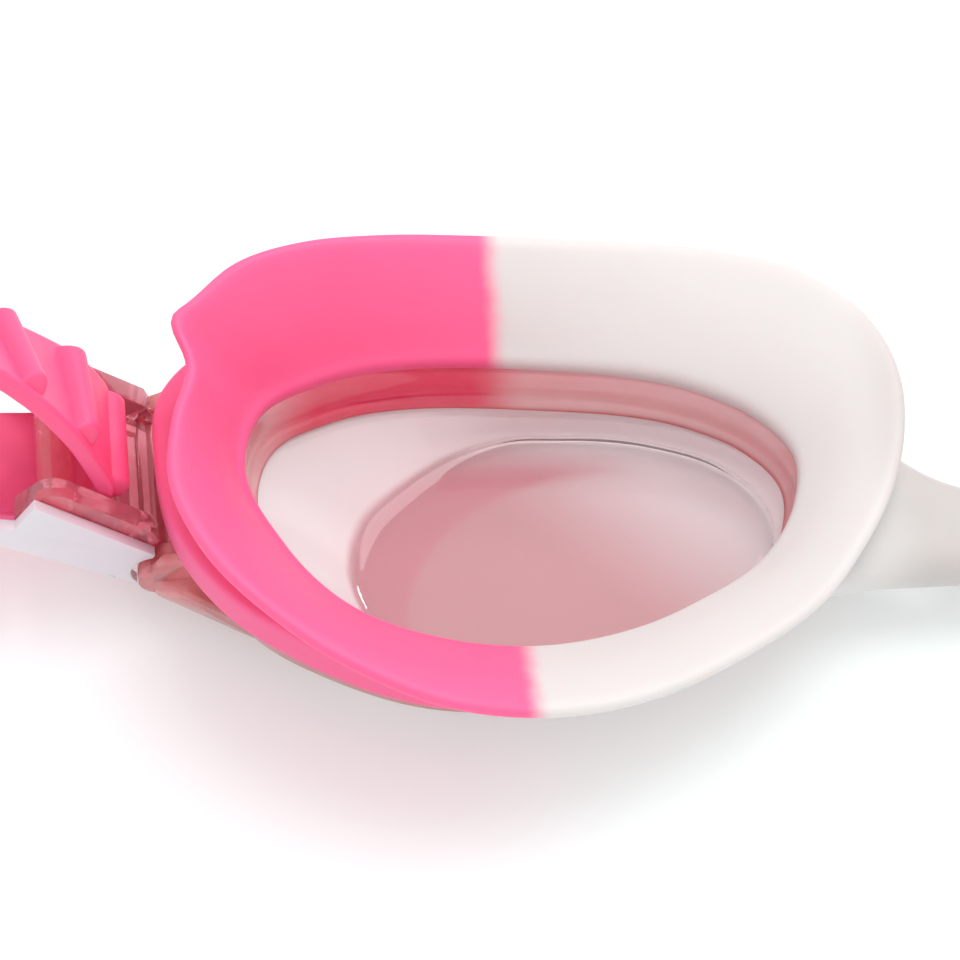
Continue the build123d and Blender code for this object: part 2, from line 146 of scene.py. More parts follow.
# painted pink light: the rim deepened where the pink silicone round it shows through
RIM_PINK_LIGHT = (1.0, 0.03, 0.11), (1.0, 0.09, 0.20)
RIM_KNUCKLE = (0.94, 0.20, 0.22), (1.0, 0.44, 0.45)
BUCKLE_CLEAR = (0.97, 0.21, 0.29), (1.0, 0.52, 0.60)
PIN_CLEAR = (0.90, 0.36, 0.43), (0.96, 0.56, 0.62)
# painted shade: the flat front darker pink, as the shaded table shows through it
LENS_FRONT_SHADE = (0.87, 0.55, 0.575), (0.89, 0.58, 0.605)
# painted light: the front paler towards nose and brow
LENS_FRONT_LIT = (1.0, 0.85, 0.87), (1.0, 0.88, 0.90)
# painted shade: a pinker, darker crescent on the front near the temple, tinted by the pink skirt
LENS_CRESCENT_SHADE = (0.88, 0.48, 0.53), (0.90, 0.51, 0.56)
LENS_WINDOW = (1.0, 0.93, 0.94), (1.0, 0.95, 0.96)
LEVER_WHITE = (0.70, 0.67, 0.72), (0.76, 0.73, 0.78)
CARD_WHITE = (0.72, 0.78, 0.775), (0.74, 0.80, 0.795)

# ---------------------------------------------------------------- where a material changes, mm
# Outboard is measured from the nose plane, and brow from the hinge line.
SEAM_SHIFT = 0.5                   # the soft seam's middle, outboard of SEAM_X
BRIDGE_SHADE_ENDS = (4.5, 11.5)    # outboard, from the bridge's painted shade to the cup's plain white
PINK_LIGHT_ENDS = (59.0, 67.0)       # outboard, where the rim's painted pink light from the silicone fades out
KNUCKLE_TINT = (69.0, 73.0)        # outboard, from the rim's colour to the knuckle's
KNUCKLE_CLEARER = (66.0, 71.0)     # outboard, where the rim grows clearer towards the hinge
FOOT_SHADE_TOP = (4.3, 4.7)              # height of the rim's painted shade under its bead at the nose plane, rising with the lens
LENS_FLAT_TOP = (1.5, 2.4)         # height, from the lens's flat front in painted shade to its window in its own pale tint
FRONT_LIT_LEAN = (-47.0, -27.0)         # brow less outboard, from the front's painted shade to its painted light on the nose and brow side
OVAL_CENTRE = (35.0, -14.0)        # (outboard, brow) middle of the oval that the crescent of painted shade goes round
OVAL_HALF = (17.6, 14.6)
OVAL_EDGE = (0.97, 1.02)           # shares of the oval's size between which the crescent's painted shade comes in
CRESCENT_START = (28.0, 41.0)      # outboard, where the painted shade comes in
CRESCENT_BROW = (0.5, 3.5)         # brow, where it fades out
LENS_CLEAR = (0.86, 0.36)          # transmission of the flat front and of the window
RIM_CLEAR = (0.4, 0.55)            # transmission of the rim's ring and of its hinge end

SIDES = {"right": 1, "left": -1}

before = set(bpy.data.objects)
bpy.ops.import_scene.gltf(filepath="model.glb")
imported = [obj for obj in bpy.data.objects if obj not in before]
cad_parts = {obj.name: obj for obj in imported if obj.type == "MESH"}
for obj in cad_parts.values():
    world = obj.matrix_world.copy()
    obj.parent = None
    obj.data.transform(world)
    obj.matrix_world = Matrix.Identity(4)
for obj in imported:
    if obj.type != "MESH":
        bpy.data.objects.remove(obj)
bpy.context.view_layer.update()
pin_low, pin_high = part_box("hinge_pin_right")
HINGE_LINE_Y = (pin_low.y + pin_high.y) / 2


# ---------------------------------------------------------------- curves
def radius_at(outline):
    """Distances from the cup's centre to a smooth closed curve through an outline, one for each of ANGLES."""
    away = np.array(outline) - (SEAM_X, CENTRE_Y)
    knots = np.degrees(np.arctan2(away[:, 1], away[:, 0])) % 360
    order = np.argsort(knots)
    knots, radii = knots[order], np.hypot(*away.T)[order]
    knots = np.concatenate([knots[-2:] - 360, knots, knots[:2] + 360])
    radii = np.concatenate([radii[-2:], radii, radii[:2]])
    slopes = np.gradient(radii, knots)
    place = np.searchsorted(knots, ANGLES, side="right") - 1
    gap = knots[place + 1] - knots[place]
    t = (ANGLES - knots[place]) / gap
    curve = (
        (2 * t**3 - 3 * t**2 + 1) * radii[place] + (t**3 - 2 * t**2 + t) * slopes[place] * gap
        + (3 * t**2 - 2 * t**3) * radii[place + 1] + (t**3 - t**2) * slopes[place + 1] * gap
    )
    return 0.25 * np.roll(curve, 1) + 0.5 * curve + 0.25 * np.roll(curve, -1)


def place_ring(radius, height):
    """A ring of points round the cup's centre; height is a number or one value per angle."""
    turn = np.radians(ANGLES)
    x = SEAM_X + radius * np.cos(turn)
    y = CENTRE_Y + radius * np.sin(turn)
    return np.stack([x, y, np.broadcast_to(height, x.shape)], axis=1)


def outboard(radius):
    """How far outboard each point of a ring is."""
    return SEAM_X + radius * np.cos(np.radians(ANGLES))


def bspline(control, samples, closed):
    """Points of a uniform cubic B-spline along the first axis of control."""
    control = np.asarray(control, float)
    if not closed:
        first = 2 * control[0] - control[1]
        last = 2 * control[-1] - control[-2]
        control = np.concatenate([first[None], control, last[None]])
    t = np.arange(samples) / samples
    middle = 3 * t**3 - 6 * t**2 + 4, -3 * t**3 + 3 * t**2 + 3 * t + 1
    weights = np.stack([(1 - t) ** 3, *middle, t**3], axis=1) / 6
    count = len(control)
    runs = []
    for first in range(count if closed else count - 3):
        four = control[[(first + k) % count for k in range(4)]]
        runs.append(np.tensordot(weights, four, axes=1))
    if not closed:
        runs.append((control[-3] + 4 * control[-2] + control[-1])[None] / 6)
    return np.concatenate(runs)


# ---------------------------------------------------------------- meshes
def metres(points, side=1):
    """Design millimetres to the row frame."""
    points = np.asarray(points, float) * (side, 1, 1) / 1000
    return points + (0, HINGE_LINE_Y, 0)


def new_piece(name, points, faces, side=1):
    """An object with a closed mesh, its faces turned outward."""
    mesh = bpy.data.meshes.new(name)
    mesh.from_pydata(metres(points, side).tolist(), [], faces)
    piece = bpy.data.objects.new(name, mesh)
    bpy.context.scene.collection.objects.link(piece)
    work = bmesh.new()
    work.from_mesh(mesh)
    bmesh.ops.recalc_face_normals(work, faces=work.faces)
    work.to_mesh(mesh)
    work.free()
    return piece


def grid_faces(rows, columns, wrap_rows, wrap_columns, first=0):
    """Quads of a grid of points numbered row by row."""
    faces = []
    for row in range(rows if wrap_rows else rows - 1):
        for column in range(columns if wrap_columns else columns - 1):
            below, beside = (row + 1) % rows, (column + 1) % columns
            corners = [(row, column), (row, beside), (below, beside), (below, column)]
            faces.append([first + r * columns + c for r, c in corners])
    return faces


def ring_piece(name, rings, side):
    """A closed ring of material from sections that go round it."""
    rows, columns = rings.shape[:2]
    return new_piece(name, rings.reshape(-1, 3), grid_faces(rows, columns, True, True), side)


def capped_piece(name, rings, side=1):
    """A closed body from a stack of rings, with a face over each end."""
    rows, columns = rings.shape[:2]
    faces = grid_faces(rows, columns, False, True)
    faces.append(list(range(columns)))
    faces.append([(rows - 1) * columns + c for c in range(columns)])
    return new_piece(name, rings.reshape(-1, 3), faces, side)


def combine(piece, others, operation="UNION"):
    """Join other pieces to this one, or cut them from it."""
    for other in others:
        step = piece.modifiers.new("combine", "BOOLEAN")
        step.object = other
        step.operation = operation
        step.solver = "EXACT"
        apply_modifiers(piece)
        bpy.data.objects.remove(other)
    return piece


def apply_modifiers(piece):
    bpy.context.view_layer.update()
    shaped = piece.evaluated_get(bpy.context.evaluated_depsgraph_get())
    mesh = bpy.data.meshes.new_from_object(shaped)
    piece.modifiers.clear()
    piece.data = mesh
    return piece


def bevel(piece, width, segments=3, angle=35):
    """Round the sharp edges by a width in mm."""
    step = piece.modifiers.new("bevel", "BEVEL")
    step.width = width / 1000
    step.segments = segments
    step.limit_method = "ANGLE"
    step.angle_limit = np.radians(angle)
    step.use_clamp_overlap = True
    step.harden_normals = False
    return apply_modifiers(piece)


def shade(piece, material, sharp=None):
    """Smooth shading, with edges sharper than an angle kept crisp."""
    piece.data.materials.clear()
    piece.data.materials.append(material)
    piece.data.polygons.foreach_set("use_smooth", [True] * len(piece.data.polygons))
    if sharp:
        piece.data.set_sharp_from_angle(angle=np.radians(sharp))
    return piece


def block(low, high):
    """A box in a part's own axes."""
    (x0, y0, z0), (x1, y1, z1) = low, high
    ring = [(x0, y0), (x1, y0), (x1, y1), (x0, y1)]
    return np.array([[(x, y, z) for x, y in ring] for z in (z0, z1)])


def rod(along, out, radius, y0, y1, steps=64):
    """A cylinder across the buckle."""
    turn = np.linspace(0, 2 * np.pi, steps, endpoint=False)
    x = along + radius * np.cos(turn)
    z = out + radius * np.sin(turn)
    return np.array([np.stack([x, np.full(steps, y), z], axis=1) for y in (y0, y1)])


def prism(profile, y0, y1):
    """A flat (along, out) profile carried across the buckle."""
    return np.array([[(x, y, z) for x, z in profile] for y in (y0, y1)])


def on_buckle(points):
    """From the buckle's (along, across, out) axes to the design frame."""
    points = np.asarray(points, float)
    tilt = np.radians(BUCKLE_TILT)
    along, across, out = points[..., 0], points[..., 1], points[..., 2]
    x = HINGE[0] + along * np.cos(tilt) - out * np.sin(tilt)
    z = HINGE[1] + along * np.sin(tilt) + out * np.cos(tilt)
    return np.stack([x, across, z], axis=-1)


def on_hinge(points):
    """From axes centred on the hinge pin to the design frame, without tilt."""
    return np.asarray(points, float) + (HINGE[0], 0, HINGE[1])


# ---------------------------------------------------------------- skirt and nose bridge
def lip_height(x):
    return 15.5 + 0.0022 * x * x


def opening_height(x):
    return 10.5 + 0.06 * x


def rim_height(x):
    return opening_height(x) - 1.2


def lens_height(x):
    return LENS_EDGE_HEIGHT + LENS_EDGE_SLOPE * x


def cup(side):
    """One cup of the skirt: rolled lip, funnel, opening edge, collar over the rim, valley under the lip."""
    lip = radius_at(LIP_OUTLINE)
    opening = radius_at(OPENING_OUTLINE)
    collar = radius_at(COLLAR_OUTLINE)
    wall = collar - COLLAR_WALL + 0.05
    lip_z = lip_height(outboard(lip))
    opening_z = opening_height(outboard(opening))
    control = []

    def put(radius, height, times=1):
        control.extend([place_ring(radius, height)] * times)

    def seat(radius):
        return rim_height(outboard(radius)) + 0.05

    for share in (0.0, 0.2, 0.42, 0.64, 0.84):
        swell = 2.2 * share * (1 - share)
        radius = opening + 1.0 + share * (lip - opening - 1.9)
        put(radius, opening_z + 0.95 + share * (lip_z - opening_z - 0.45) + swell)
    put(lip - 0.9, lip_z + 0.55)
    put(lip - 0.2, lip_z + 0.4)
    put(lip + 0.12, lip_z - 0.05)
    put(lip - 0.15, lip_z - 0.75)
    put(lip - 0.8, lip_z - 1.5)
    for share in (0.3, 0.6):
        radius = lip - 0.9 + share * (opening + 2.8 - lip + 0.9)
        put(radius, lip_z - 1.5 + share * (seat(opening) + 1.7 - lip_z + 1.5))
    put(opening + 3.0, seat(opening) + 1.65)
    put(opening + 3.1, seat(opening) + 1.15)
    put(collar - 0.9, seat(collar) + 1.1)
    put(collar - 0.15, seat(collar) + 1.0)
    put(collar + 0.02, seat(collar) + 0.2)
    put(collar, seat(collar) - 1.6)
    put(collar, seat(collar) - COLLAR_DROP + 0.3, 2)
    put(wall + 0.4, seat(collar) - COLLAR_DROP)
    put(wall, seat(collar) - COLLAR_DROP + 0.1, 2)
    put(wall, seat(wall) - 1.4)
    put(wall, seat(wall), 3)
    put(opening + 1.8, seat(opening + 1.8))
    put(opening + 0.1, seat(opening), 2)
    put(opening - 0.05, seat(opening) + 0.6)
    put(opening + 0.02, opening_z + 0.05)
    put(opening + 0.4, opening_z + 0.55)
    return ring_piece("skirt", bspline(control, 3, True), side)


def collar_edge_x(y):
    """How far outboard the middle of the collar's wall is on the nose side, at each y."""
    ring = place_ring(radius_at(COLLAR_OUTLINE) - COLLAR_WALL / 2, 0.0)
    nose = ring[(ANGLES > 120) & (ANGLES < 250)]
    order = np.argsort(nose[:, 1])
    return np.interp(y, nose[order, 1], nose[order, 0])


def bridge():
    """The soft bar between the cups, flared where it runs into the collars."""
    shares = [0.0, 0.3, 0.6, 0.84, 0.95, 1.0]
    low_y = [-17.5, -17.4, -17.5, -18.2, -19.1, -20.1]
    high_y = [-8.9, -7.5, -4.3, 0.0, 1.8, 3.4]
    low_z = [5.3, 5.4, 5.8, 6.5, 6.7, 6.8]
    high_z = [11.0, 11.1, 11.5, 11.8, 11.9, 11.9]
    fine = np.linspace(0, 1, 25)
    tables = (shares, low_y, high_y, low_z, high_z)
    smooth = [bspline(np.array(v, float)[:, None], 8, False)[:, 0] for v in tables]
    y0, y1, z0, z1 = (np.interp(fine, smooth[0], v) for v in smooth[1:])
    turn = np.linspace(0, 2 * np.pi, 56, endpoint=False)
    power = 2 / 2.7
    across = np.sign(np.cos(turn)) * np.abs(np.cos(turn)) ** power
    upward = np.sign(np.sin(turn)) * np.abs(np.sin(turn)) ** power
    half = []
    for share, a, b, c, d in zip(fine, y0, y1, z0, z1):
        y = (a + b) / 2 + across * (b - a) / 2
        z = (c + d) / 2 + upward * (d - c) / 2
        half.append(np.stack([share * collar_edge_x(y), y, z], axis=1))
    for shrink in (0.6, 0.2):
        last = half[24]
        middle = last.mean(axis=0)
        inner = middle + (last - middle) * shrink
        inner[:, 0] = collar_edge_x(inner[:, 1])
        half.append(inner)
    half = np.array(half)
    mirrored = half[:0:-1] * (-1, 1, 1)
    return capped_piece("bridge", np.concatenate([mirrored, half]))


def soften_joint(piece):
    """Round the crease where the bridge meets the collars."""
    middle = np.array([v.co[:] for v in piece.data.vertices]) * 1000
    x, y = np.abs(middle[:, 0]), middle[:, 1] - HINGE_LINE_Y * 1000
    turn = np.degrees(np.arctan2(y - CENTRE_Y, x - SEAM_X)) % 360
    edge = np.interp(turn, ANGLES, radius_at(COLLAR_OUTLINE))
    near = np.abs(np.hypot(x - SEAM_X, y - CENTRE_Y) - edge) < 1.6
    near &= (x < 25) & (y > -22) & (y < 5) & (middle[:, 2] > 6.3)
    near &= np.hypot(x - SEAM_X, y - CENTRE_Y) > edge - 0.5
    work = bmesh.new()
    work.from_mesh(piece.data)
    work.verts.ensure_lookup_table()
    chosen = [work.verts[i] for i in np.flatnonzero(near)]
    for _ in range(10):
        bmesh.ops.smooth_vert(
            work, verts=chosen, factor=0.5, use_axis_x=True, use_axis_y=True, use_axis_z=True
        )
    work.to_mesh(piece.data)
    work.free()


def skirt(material):
    piece = combine(cup(1), [cup(-1), bridge()])
    soften_joint(piece)
    piece.name = "skirt"
    shade(piece, material)
    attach(piece, "frame")
    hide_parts("skirt_temple_right", "skirt_temple_left", "skirt_nose_bridge")
    return piece


# ---------------------------------------------------------------- lens
def lens(name, side, material):
    """A dish with a flat oval front, a sloping temple window and a seat flange."""
    front = radius_at(LENS_FRONT_OUTLINE)
    edge = radius_at(OPENING_OUTLINE) + RIM_INSIDE - 0.05
    top = lens_height(outboard(edge))
    control = []

    def put(radius, height, times=1):
        control.extend([place_ring(radius, height)] * times)

    inner_front = front - 0.6
    for share in (0.3, 0.6, 0.85):
        put(inner_front * share, LENS_WALL)
    put(inner_front - 1.3, LENS_WALL)
    put(inner_front + 0.1, LENS_WALL + 0.08)
    for share in (0.12, 0.35, 0.65, 0.9):
        radius = inner_front + share * (edge - 1.1 - inner_front)
        put(radius, LENS_WALL + share * (top - LENS_WALL) - 0.25 * share * (1 - share))
    put(edge - 0.8, top - 0.02)
    put(edge - 0.1, top)
    put(edge, top - 0.1, 2)
    put(edge, top - 0.8)
    put(edge, top - 1.5, 2)
    for share in (0.9, 0.5, 0.15):
        put(front + share * (edge - front), share * (top - 1.6) - 0.25 * share * (1 - share))
    put(front, 0.0, 2)
    put(front - 0.8, 0.0)
    for share in (0.8, 0.5, 0.2):
        put(front * share, 0.0)
    piece = capped_piece(f"moulded_{name}", bspline(control, 3, False), side)
    shade(piece, material)
    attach(piece, "frame")
    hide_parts(name)
    return piece


# ---------------------------------------------------------------- rim
def lug(start, stop):
    """One hinge lug: a rounded plate that grows out of the rim."""
    turn = np.radians(np.linspace(-90, 90, 25))
    nose = [(LUG_RADIUS * np.cos(a), LUG_RADIUS * np.sin(a)) for a in turn]
    root = LUG_ROOT - HINGE[0]
    profile = nose + [(-1.2, 2.6), (root, 2.6), (root, -2.3)]
    return bevel(capped_piece("lug", on_hinge(prism(profile, start, stop))), 0.3)


def knuckle():
    """Faceted end of the cheek-side lug, with the web that braces it against the rim."""
    facets = bevel(capped_piece("knuckle", prism(KNUCKLE, -KNUCKLE_OUTER, -LUG_OUTER)), 0.35)
    stack = np.array([[(x, y, z) for x, y in GUSSET] for z in (RIM_BOTTOM, GUSSET_TOP)])
    return [facets, bevel(capped_piece("gusset", stack), 0.4)]


def rim(name, side, material):
    """Clear frame round a lens: rounded ring with a retaining bead inside, and two lugs."""
    opening = radius_at(OPENING_OUTLINE)
    outer = radius_at(COLLAR_OUTLINE) - COLLAR_WALL
    inner = opening + RIM_INSIDE
    inner_top = rim_height(outboard(inner))
    outer_top = rim_height(outboard(outer))
    ledge = lens_height(outboard(inner))
    control = []

    def put(radius, height, times=1):
        control.extend([place_ring(radius, height)] * times)

    put(inner, RIM_BOTTOM + 0.3, 2)
    put(inner, ledge - 0.6)
    put(inner, ledge + 0.05)
    put(inner - 0.6, ledge + 0.08, 2)
    put(inner - 1.35, ledge + 0.15)
    put(inner - 1.4, ledge + 0.45)
    put(inner - 0.7, ledge + 0.85)
    put(inner - 0.1, ledge + 1.5)
    put(inner + 0.06, 0.5 * (ledge + inner_top))
    put(inner, inner_top - 1.2)
    put(inner, inner_top - 0.25, 2)
    put(inner + 0.25, inner_top - 0.02, 2)
    put(0.5 * (inner + outer), 0.5 * (inner_top + outer_top) - 0.02)
    put(outer - 0.3, outer_top - 0.02, 2)
    put(outer, outer_top - 0.3, 2)
    for share in (0.35, 0.7):
        put(outer - RIM_TAPER * share, outer_top + (RIM_BOTTOM - outer_top) * share)
    foot = outer - RIM_TAPER
    put(foot + 0.05, RIM_BOTTOM + 0.5, 2)
    put(foot - 0.3, RIM_BOTTOM, 2)
    put(inner + 0.25, RIM_BOTTOM, 2)
    body = ring_piece(name, bspline(control, 3, True), 1)
    piece = combine(body, [lug(LUG_INNER, LUG_OUTER), lug(-KNUCKLE_OUTER, -LUG_INNER), *knuckle()])
    bore = capped_piece("hole", on_hinge(rod(0, 0, PIN_RADIUS, -LUG_OUTER, LUG_OUTER)))
    combine(piece, [bore], "DIFFERENCE")
    return finish_side(piece, name, side, material, "frame", 40)


def finish_side(piece, name, side, material, body, sharp=None):
    """Mirror a right-hand piece if it is the left one, give it its looks and put it on its body."""
    if side < 0:
        piece.data.transform(((-1, 0, 0, 0), (0, 1, 0, 0), (0, 0, 1, 0), (0, 0, 0, 1)))
        piece.data.flip_normals()
    piece.name = f"moulded_{name}"
    shade(piece, material, sharp)
    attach(piece, body)
    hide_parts(name)
    return piece


# ---------------------------------------------------------------- buckle and lever
def buckle(name, side, material):
    """Clear frame: barrel on the pin, web, two rails and the post for the strap."""
    parts = [
        capped_piece("web", on_buckle(block((0, -BARREL_HALF, -1.1), (4.2, BARREL_HALF, 1.1)))),
        capped_piece("post", on_buckle(rod(POST_ALONG, POST_OUT - 0.4, POST_RADIUS, -6.0, 6.0))),
    ]
    for y in (1, -1):
        y0, y1 = sorted((y * RAIL_INNER, y * RAIL_OUTER))
        parts.append(capped_piece("rail", on_buckle(prism(RAIL_SIDE, y0, y1))))
        n0, n1 = sorted((y * RAIL_INNER, y * BARREL_HALF))
        parts.append(capped_piece("neck", on_buckle(block((0, n0, -1.7), (4.2, n1, 1.7)))))
    piece = capped_piece(name, on_buckle(rod(0, 0, BARREL_RADIUS, -BARREL_HALF, BARREL_HALF)))
    combine(piece, parts)
    bevel(piece, 0.25)
    holes = [capped_piece("hole", on_buckle(rod(0, 0, PIN_RADIUS + PIN_CLEARANCE, -9, 9)))]
    for y in (1, -1):
        y0, y1 = sorted((y * 6.1, y * 9.0))
        holes.append(capped_piece("hole", on_buckle(rod(*LEVER_PIVOT, LEVER_PIN_RADIUS, y0, y1))))
    combine(piece, holes, "DIFFERENCE")
    return finish_side(piece, name, side, material, name, 40)


def lever(name, side, material):
    """White channel: two notched side walls, a plate and an end bar."""
    wide = LEVER_WALL_OUTER
    parts = [
        capped_piece("bar", on_buckle(block((19.9, -wide, -5.6), (21.5, wide, -4.2)))),
    ]
    for y in (1, -1):
        y0, y1 = sorted((y * LEVER_WALL_INNER, y * LEVER_WALL_OUTER))
        parts.append(capped_piece("wall", on_buckle(prism(LEVER_SIDE, y0, y1))))
    piece = capped_piece(name, on_buckle(block((2.6, -wide, -3.6), (5.6, wide, -2.8))))
    combine(piece, parts)
    blind = LEVER_PIN_OUTER
    cuts = [
        capped_piece("notch", on_buckle(rod(0, 0, LEVER_NOTCH_RADIUS, -12, 12))),
        capped_piece("hole", on_buckle(rod(*LEVER_PIVOT, LEVER_PIN_RADIUS + PIN_CLEARANCE, -blind, blind))),
    ]
    combine(piece, cuts, "DIFFERENCE")
    bevel(piece, 0.32)
    return finish_side(piece, f"release_{name}", side, material, name, 40)


# ---------------------------------------------------------------- strap
def unit(vectors):
    vectors = np.asarray(vectors, float)
    return vectors / np.linalg.norm(vectors, axis=-1, keepdims=True)


def strap_line():
    """Close points down the band's middle, from the tail's free end to the middle of the back.

    With them come the outward direction at each, and the length left to the start of the loop, which is
    negative past it.
    """
    tilt = np.radians(BUCKLE_TILT)
    post = np.array([
        HINGE[0] + POST_ALONG * np.cos(tilt) - POST_OUT * np.sin(tilt), 0,
        HINGE[1] + POST_ALONG * np.sin(tilt) + POST_OUT * np.cos(tilt),
    ])
    middle = WRAP_INSIDE + STRAP_THICK / 2
    step = 0.2
    marks, tilts, twists = (np.array(v, float) for v in zip(*TAIL_ROUTE))
    lengths = np.arange(step, marks[-1] + 0.01, step)
    angle = np.radians(smooth_between(lengths - step / 2, marks, tilts))
    twist = np.radians(smooth_between(lengths, marks, twists))
    climb = np.stack([np.cos(angle), 0 * angle, np.sin(angle)], axis=1)
    start = np.radians(TAIL_TILT + 90)
    loop_start = post + middle * np.array([np.cos(start), 0, np.sin(start)])
    tail_points = loop_start + np.cumsum(climb * step, axis=0)
    square = np.stack([-np.sin(angle), 0 * angle, np.cos(angle)], axis=1)
    tail_out = square * np.cos(twist)[:, None] + np.array([0, 1, 0]) * np.sin(twist)[:, None]
    turns = np.radians(TAIL_TILT + 90 + np.linspace(0, 180 - TAIL_TILT + LEAD_TILT, 65))
    wrap_out = np.stack([np.cos(turns), 0 * turns, np.sin(turns)], axis=1)
    wrap = post + wrap_out * middle
    heads = np.array(HEAD_ROUTE, float)
    lead = np.array([[*wrap[-1], 0], [*(wrap[-1] + (1.5, 0, 0.12)), 0]])
    beyond = heads[-2] * (-1, 1, 1, 1)
    fine = through_points(np.concatenate([lead, heads, [beyond]]), 12)[1:-12]
    heading = unit(np.gradient(fine[:, :3], axis=0))
    inner_side = unit(np.cross((0, 0, 1), heading))
    top_side = np.cross(heading, inner_side)
    bank = np.radians(fine[:, 3:])
    head_out = -inner_side * np.sin(bank) - top_side * np.cos(bank)
    points = np.concatenate([tail_points[::-1], wrap, fine[:, :3]])
    out = np.concatenate([tail_out[::-1], wrap_out, head_out])
    run = np.linalg.norm(np.diff(points, axis=0), axis=1)
    length = np.concatenate([[0], np.cumsum(run)])
    return points, unit(out), length[len(tail_points)] - length


def smooth_between(places, marks, values):
    """Values at places, by straight lines between marks with their corners rounded off."""
    spread = np.linspace(-1.5, 1.5, 7)
    return np.mean([np.interp(places + shift, marks, values) for shift in spread], axis=0)


def through_points(knots, samples):
    """A smooth curve through every knot, with even steps between them."""
    ends = np.concatenate([2 * knots[:1] - knots[1:2], knots, 2 * knots[-1:] - knots[-2:-1]])
    t = (np.arange(samples) / samples)[:, None]
    runs = []
    for a, b, c, d in zip(ends, ends[1:], ends[2:], ends[3:]):
        square, cube = 2 * a - 5 * b + 4 * c - d, 3 * b - a - 3 * c + d
        runs.append(0.5 * (2 * b + (c - a) * t + square * t**2 + cube * t**3))
    runs.append(knots[-1:])
    return np.concatenate(runs)


def ridge_rise(places, left):
    """Height of the ratchet ridges at each place along the band."""
    rise = np.zeros(len(left))
    for place in places:
        away = np.clip(np.abs(left - place) / RIDGE_FOOT, 0, 1)
        rise = np.maximum(rise, np.sqrt(1 - away**2))
    return RIDGE_HEIGHT * rise


def half_strap(name, side, material):
    """The moulded band on one side: tail, loop round the post and half of the head strap."""
    points, out, left = strap_line()
    heading = unit(np.gradient(points, axis=0))
    out = unit(out - heading * np.sum(out * heading, axis=1, keepdims=True))
    across = np.cross(heading, out)
    rise = ridge_rise(RIDGES, left)
    half_width, half_thick, corner = STRAP_WIDTH / 2, STRAP_THICK / 2, 0.45
    edge = np.array([1, 0.995, 0.97, 0.92, 0.88, 0.865, 0.85, 0.83, 0.81, 0.79])
    wides = np.concatenate([-edge, np.linspace(-0.72, 0.72, 13), edge[::-1]])
    columns = []
    for wide in wides:
        w = wide * half_width
        over = max(0.0, abs(w) - (half_width - corner))
        drop = corner - np.sqrt(max(0.0, corner**2 - over**2))
        end = 1 - np.clip((RIDGE_HALF_LENGTH - abs(w)) / 0.5, 0, 1)
        height = half_thick - drop + rise * np.sqrt(1 - end**2)
        columns.append(points + across * w + out * height[:, None])
    for wide in wides[::-1]:
        w = wide * half_width
        over = max(0.0, abs(w) - (half_width - corner))
        drop = corner - np.sqrt(max(0.0, corner**2 - over**2))
        columns.append(points + across * w - out * (half_thick - drop))
    rings = np.stack(columns, axis=1)
    tip = rings[:1].mean(axis=1, keepdims=True)
    rounded = tip + (rings[:1] - tip) * 0.8 - heading[:1, None] * 0.35
    piece = capped_piece(name, np.concatenate([rounded, rings]), side)
    shade(piece, material, 60)
    start, end = metres(STRAP_BEND, side)
    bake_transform(piece)
    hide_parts("strap")
    return piece


# ---------------------------------------------------------------- materials
def shader(name, **values):
    """A new material's node tree and its main shader, with constants on the shader's own sockets."""
    material = bpy.data.materials.new(name)
    material.use_nodes = True
    nodes = material.node_tree.nodes
    main = nodes["Principled BSDF"]
    for socket, value in values.items():
        main.inputs[socket.replace("_", " ")].default_value = value
    return material, main


def add(material, kind, **settings):
    node = material.node_tree.nodes.new(kind)
    for key, value in settings.items():
        setattr(node, key, value)
    return node


def link(material, output, target):
    material.node_tree.links.new(output, target)


def position(material):
    """Coordinates of the piece's own mesh, in metres."""
    return add(material, "ShaderNodeTexCoord").outputs["Object"]


def noise(material, scale, detail=3, roughness=0.5):
    node = add(material, "ShaderNodeTexNoise")
    node.inputs["Scale"].default_value = scale
    node.inputs["Detail"].default_value = detail
    node.inputs["Roughness"].default_value = roughness
    link(material, position(material), node.inputs["Vector"])
    return node.outputs["Fac"]


def spread(material, value, low, high):
    """Carry a 0 to 1 value to another range."""
    node = add(material, "ShaderNodeMapRange")
    node.inputs["To Min"].default_value = low
    node.inputs["To Max"].default_value = high
    link(material, value, node.inputs["Value"])
    return node.outputs["Result"]


def bump(material, main, height, distance, strength=1.0):
    node = add(material, "ShaderNodeBump")
    node.inputs["Distance"].default_value = distance
    node.inputs["Strength"].default_value = strength
    link(material, height, node.inputs["Height"])
    link(material, node.outputs["Normal"], main.inputs["Normal"])


def tint(material, value, colours):
    """Colours from the dark one to the light one by a 0 to 1 value."""
    node = add(material, "ShaderNodeMix", data_type="RGBA")
    node.inputs["A"].default_value = (*colours[0], 1)
    node.inputs["B"].default_value = (*colours[1], 1)
    link(material, value, node.inputs["Factor"])
    return node.outputs["Result"]


def calculate(material, operation, *values):
    """Result of a Math node on outputs and plain numbers."""
    node = add(material, "ShaderNodeMath", operation=operation)
    for place, value in enumerate(values):
        if isinstance(value, (int, float)):
            node.inputs[place].default_value = value
        else:
            link(material, value, node.inputs[place])
    return node.outputs[0]


def coordinate(material, axis):
    """X, Y or Z of the piece's own mesh, in metres."""
    apart = add(material, "ShaderNodeSeparateXYZ")
    link(material, position(material), apart.inputs["Vector"])
    return apart.outputs[axis]


def distance_out(material):
    """Distance from the nose plane, in metres, the same on both sides."""
    return calculate(material, "ABSOLUTE", coordinate(material, "X"))


